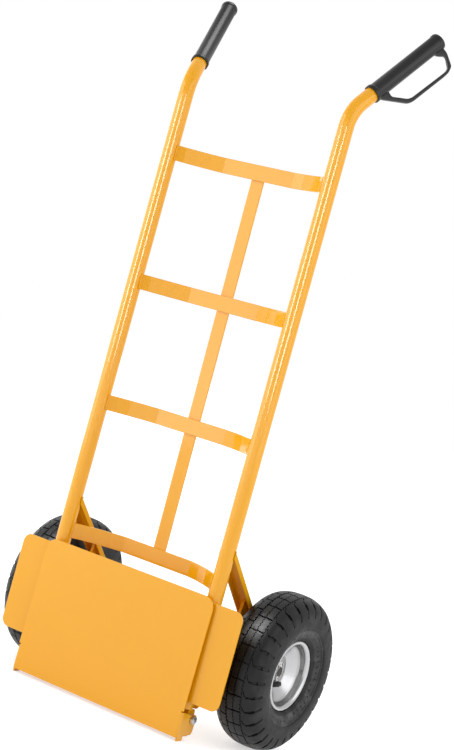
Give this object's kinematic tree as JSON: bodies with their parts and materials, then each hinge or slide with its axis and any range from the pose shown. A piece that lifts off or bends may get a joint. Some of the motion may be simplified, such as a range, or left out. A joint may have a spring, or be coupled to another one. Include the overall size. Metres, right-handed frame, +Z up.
{
  "type": "transport trolley",
  "caption": "Upright two-wheeled sack truck with bent tube handles, guarded grips, bowed crossbars, air-filled wheels and a toe plate that folds down",
  "frame": {"origin": "on the floor, midway between the side tubes and under their centre lines", "axes": "+X to the right for somebody facing the load side, -Y towards the load side, +Y towards the wheels, +Z up"},
  "size_m": [0.5286, 0.2915, 1.1865],
  "materials": {
    "orange_paint": "gloss powder coat on steel",
    "grip_plastic": "moulded, slightly satin",
    "cap_plastic": "moulded",
    "tyre_rubber": "moulded block tread",
    "inner_tube_rubber": "smooth",
    "rim_steel": "bright plated sheet",
    "zinc_steel": "zinc plated",
    "bare_steel": "plain turned steel"
  },
  "bodies": {
    "frame": {"crossbar_top": "orange_paint", "crossbar_upper": "orange_paint", "crossbar_lower": "orange_paint", "crossbar_bottom": "orange_paint", "centre_strip": "orange_paint", "hinge_beam": "orange_paint", "axle": "bare_steel", "side_tube_left": "orange_paint", "side_tube_right": "orange_paint", "wing_plate_left": "orange_paint", "wing_plate_right": "orange_paint", "brace_left": "orange_paint", "brace_right": "orange_paint", "strut_left": "orange_paint", "strut_right": "orange_paint", "axle_plate_left": "orange_paint", "axle_plate_right": "orange_paint", "grip_left": "grip_plastic", "grip_right": "grip_plastic", "axle_spacer_left": "zinc_steel", "axle_spacer_right": "zinc_steel", "axle_washer_left": "zinc_steel", "axle_washer_right": "zinc_steel", "split_pin_left": "zinc_steel", "split_pin_right": "zinc_steel", "hinge_block_left": "bare_steel", "hinge_block_right": "bare_steel", "hinge_bolt_left": "zinc_steel", "hinge_bolt_right": "zinc_steel", "hinge_washer_left": "zinc_steel", "hinge_washer_right": "zinc_steel"},
    "toe_plate": {"toe_plate": "orange_paint"},
    "wheel_left": {"tyre_left": "tyre_rubber", "inner_tube_left": "inner_tube_rubber", "rim_outer_left": "rim_steel", "rim_inner_left": "rim_steel", "hub_left": "rim_steel", "bearing_outer_left": "bare_steel", "bearing_inner_left": "bare_steel", "valve_stem_left": "inner_tube_rubber", "valve_cap_left": "cap_plastic"},
    "wheel_right": {"tyre_right": "tyre_rubber", "inner_tube_right": "inner_tube_rubber", "rim_outer_right": "rim_steel", "rim_inner_right": "rim_steel", "hub_right": "rim_steel", "bearing_outer_right": "bare_steel", "bearing_inner_right": "bare_steel", "valve_stem_right": "inner_tube_rubber", "valve_cap_right": "cap_plastic"}
  },
  "joints": [
    {"name": "toe_hinge", "type": "hinge", "parent": "frame", "child": "toe_plate", "pos_m": [0, 0.008, 0.034], "axis": [1, 0, 0], "range_deg": [0, 91]},
    {"name": "wheel_left_axle", "type": "hinge", "parent": "frame", "child": "wheel_left", "pos_m": [-0.2218, 0.136, 0.13], "axis": [1, 0, 0], "continuous": true},
    {"name": "wheel_right_axle", "type": "hinge", "parent": "frame", "child": "wheel_right", "pos_m": [0.2218, 0.136, 0.13], "axis": [1, 0, 0], "continuous": true}
  ]
}
